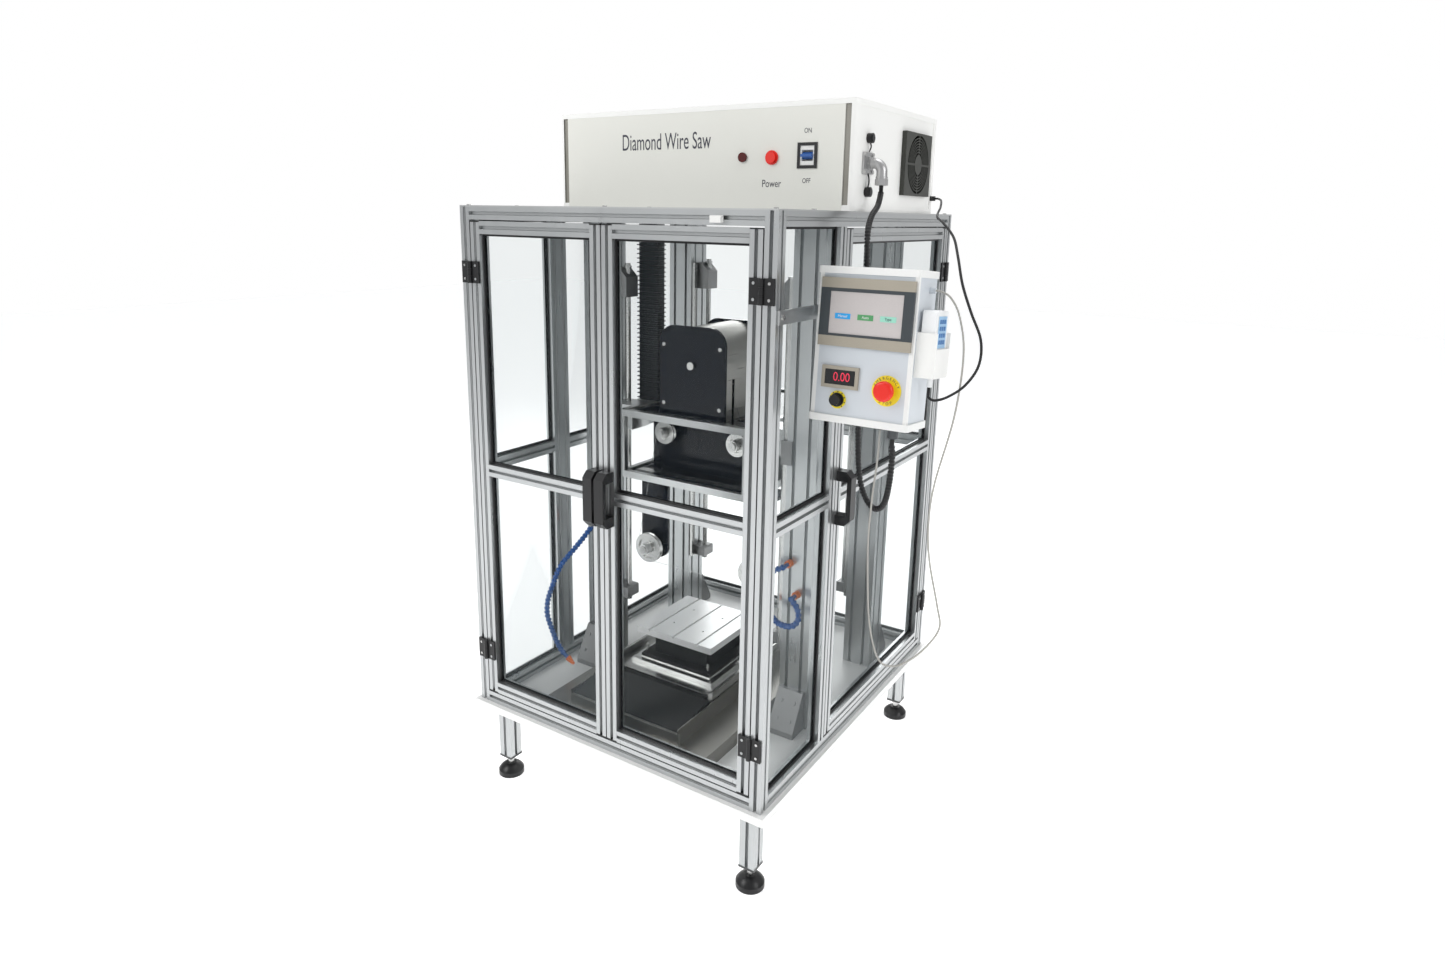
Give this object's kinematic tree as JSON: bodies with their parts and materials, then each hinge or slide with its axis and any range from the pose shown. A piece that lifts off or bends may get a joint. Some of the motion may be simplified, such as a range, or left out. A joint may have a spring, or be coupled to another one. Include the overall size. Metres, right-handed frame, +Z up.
{
  "type": "diamond wire saw",
  "caption": "Diamond wire saw in a glazed cabinet of slotted profile: lifting head with wire drum and guide pulleys, sliding work table, roof case and side control box.",
  "frame": {"origin": "middle of the machine's footprint on the floor, the control box included and the cords left out", "axes": "+Z up, +Y from the front doors to the back, +X towards the side with the control box"},
  "size_m": [1.2373, 1.0302, 1.764],
  "materials": {
    "anodised_profile": "satin",
    "clear_pane": "clear",
    "seal_rubber": "matte",
    "black_plastic": "matte",
    "white_board": "matte",
    "roof_sheet": "satin",
    "grey_bracket": "matte",
    "ivory_case": "satin",
    "grey_panel": "satin",
    "fan_housing": "satin",
    "bright_fitting": "polished",
    "control_shell": "satin",
    "bar_metal": "satin",
    "screen_bezel": "satin",
    "yellow_plate": "gloss",
    "white_plastic": "gloss",
    "handset_grey": "satin",
    "ground_steel": "polished",
    "blue_hose": "gloss",
    "grey_cable": "matte",
    "cover_rubber": "matte",
    "machined": "satin",
    "black_anodised": "gloss",
    "red_button": "gloss",
    "blue_lever": "gloss"
  },
  "bodies": {
    "cabinet": {"floor_board": "white_board", "frame_posts": "anodised_profile", "frame_rails": "anodised_profile", "fixed_panes": "clear_pane", "pane_seals": "seal_rubber", "roof_plate": "roof_sheet", "legs": "anodised_profile", "levelling_feet": "black_plastic", "column_brackets": "grey_bracket", "hinge_leaves": "black_plastic", "case_shell": "ivory_case", "case_front_panel": "grey_panel", "fan_guard": "fan_housing", "panel_fittings": "black_plastic", "elbow_fitting": "bright_fitting", "control_box": "control_shell", "control_bar": "bar_metal", "touch_panel": "screen_bezel", "dial_plates": "yellow_plate", "handset_holder": "white_plastic", "handset": "handset_grey", "gantry_columns": "anodised_profile", "guide_rails": "ground_steel", "coolant_hoses": "blue_hose", "conduit": "black_plastic", "handset_cable": "seal_rubber", "signal_cable": "grey_cable", "stage_bed": "machined", "stage_bellows": "cover_rubber", "cable_chain": "cover_rubber", "fasteners": "ground_steel"},
    "front_left_door": {"left_door_frame": "anodised_profile", "left_door_panes": "clear_pane", "left_door_trim": "black_plastic"},
    "front_right_door": {"right_door_frame": "anodised_profile", "right_door_panes": "clear_pane", "right_door_trim": "black_plastic"},
    "right_side_door": {"side_door_frame": "anodised_profile", "side_door_panes": "clear_pane", "side_door_trim": "black_plastic"},
    "head": {"head_frame": "machined", "head_panels": "black_anodised", "drum_cover": "ground_steel", "diamond_wire": "ground_steel"},
    "drum": {"wire_drum": "machined"},
    "pulley_upper_left": {"upper_left_pulley": "machined"},
    "pulley_upper_right": {"upper_right_pulley": "machined"},
    "pulley_lower_left": {"lower_left_pulley": "machined"},
    "pulley_lower_right": {"lower_right_pulley": "machined"},
    "screw_front": {"front_screw": "ground_steel"},
    "screw_rear": {"rear_screw": "ground_steel"},
    "stage": {"stage_carriage": "grey_bracket", "coolant_tray": "ground_steel", "table_block": "black_anodised", "work_table": "machined"},
    "fan": {"fan_rotor": "black_plastic"},
    "start_button": {"power_button": "red_button"},
    "breaker": {"breaker_lever": "blue_lever"},
    "emergency_stop": {"stop_button": "red_button"},
    "knob": {"speed_knob": "black_plastic"}
  },
  "joints": [
    {"name": "front_left_door_hinge", "type": "hinge", "parent": "cabinet", "child": "front_left_door", "pos_m": [-0.5376, -0.4826, 0.878], "axis": [0, 0, -1], "range_deg": [0, 100]},
    {"name": "front_right_door_hinge", "type": "hinge", "parent": "cabinet", "child": "front_right_door", "pos_m": [0.2694, -0.4826, 0.878], "axis": [0, 0, 1], "range_deg": [0, 100]},
    {"name": "right_side_door_hinge", "type": "hinge", "parent": "cabinet", "child": "right_side_door", "pos_m": [0.3066, 0.4716, 0.878], "axis": [0, 0, 1], "range_deg": [0, 95]},
    {"name": "head_lift", "type": "slide", "parent": "cabinet", "child": "head", "axis": [0, 0, 1], "range_m": [-0.13, 0.1], "deforming": ["cable_chain"]},
    {"name": "drum_spin", "type": "hinge", "parent": "head", "child": "drum", "pos_m": [-0.1341, -0.0189, 1.138], "axis": [0, 1, 0], "continuous": true},
    {"name": "upper_left_pulley_spin", "type": "hinge", "parent": "head", "child": "pulley_upper_left", "pos_m": [-0.2481, -0.0819, 0.939], "axis": [0, 1, 0], "continuous": true},
    {"name": "upper_right_pulley_spin", "type": "hinge", "parent": "head", "child": "pulley_upper_right", "pos_m": [-0.0201, -0.0819, 0.939], "axis": [0, 1, 0], "continuous": true},
    {"name": "lower_left_pulley_spin", "type": "hinge", "parent": "head", "child": "pulley_lower_left", "pos_m": [-0.3041, -0.0819, 0.598], "axis": [0, 1, 0], "continuous": true},
    {"name": "lower_right_pulley_spin", "type": "hinge", "parent": "head", "child": "pulley_lower_right", "pos_m": [0.0359, -0.0819, 0.598], "axis": [0, 1, 0], "continuous": true},
    {"name": "front_screw_spin", "type": "hinge", "parent": "cabinet", "child": "screw_front", "pos_m": [-0.3831, -0.0729, 0.933], "axis": [0, 0, 1], "continuous": true},
    {"name": "rear_screw_spin", "type": "hinge", "parent": "cabinet", "child": "screw_rear", "pos_m": [-0.3831, 0.3221, 0.933], "axis": [0, 0, 1], "continuous": true},
    {"name": "stage_travel", "type": "slide", "parent": "cabinet", "child": "stage", "axis": [0, 1, 0], "range_m": [-0.08, 0.1], "deforming": ["stage_bellows"]},
    {"name": "fan_spin", "type": "hinge", "parent": "cabinet", "child": "fan", "pos_m": [0.2909, 0.2251, 1.643], "axis": [1, 0, 0], "continuous": true},
    {"name": "start_button_press", "type": "slide", "parent": "cabinet", "child": "start_button", "axis": [0, 1, 0], "range_m": [0, 0.003], "stiffness_N_per_m": 600, "springref_m": -0.003},
    {"name": "breaker_toggle", "type": "hinge", "parent": "cabinet", "child": "breaker", "pos_m": [0.1764, -0.1249, 1.646], "axis": [1, 0, 0], "range_deg": [-35, 35]},
    {"name": "emergency_stop_press", "type": "slide", "parent": "cabinet", "child": "emergency_stop", "axis": [0, 0.9969, -0.0785], "range_m": [0, 0.005], "stiffness_N_per_m": 1200, "springref_m": -0.004},
    {"name": "speed_knob_turn", "type": "hinge", "parent": "cabinet", "child": "knob", "pos_m": [0.3939, -0.3829, 1.1583], "axis": [0, 0.9969, -0.0785], "range_deg": [-150, 150]}
  ],
  "couplings": [
    {"joint": "upper_left_pulley_spin", "follows": "drum_spin", "ratio": 2.575},
    {"joint": "upper_right_pulley_spin", "follows": "drum_spin", "ratio": 2.575},
    {"joint": "lower_left_pulley_spin", "follows": "drum_spin", "ratio": 1.836},
    {"joint": "lower_right_pulley_spin", "follows": "drum_spin", "ratio": 1.836},
    {"joint": "front_screw_spin", "follows": "head_lift", "rad_per_m": 1256.6},
    {"joint": "rear_screw_spin", "follows": "head_lift", "rad_per_m": 1256.6}
  ]
}
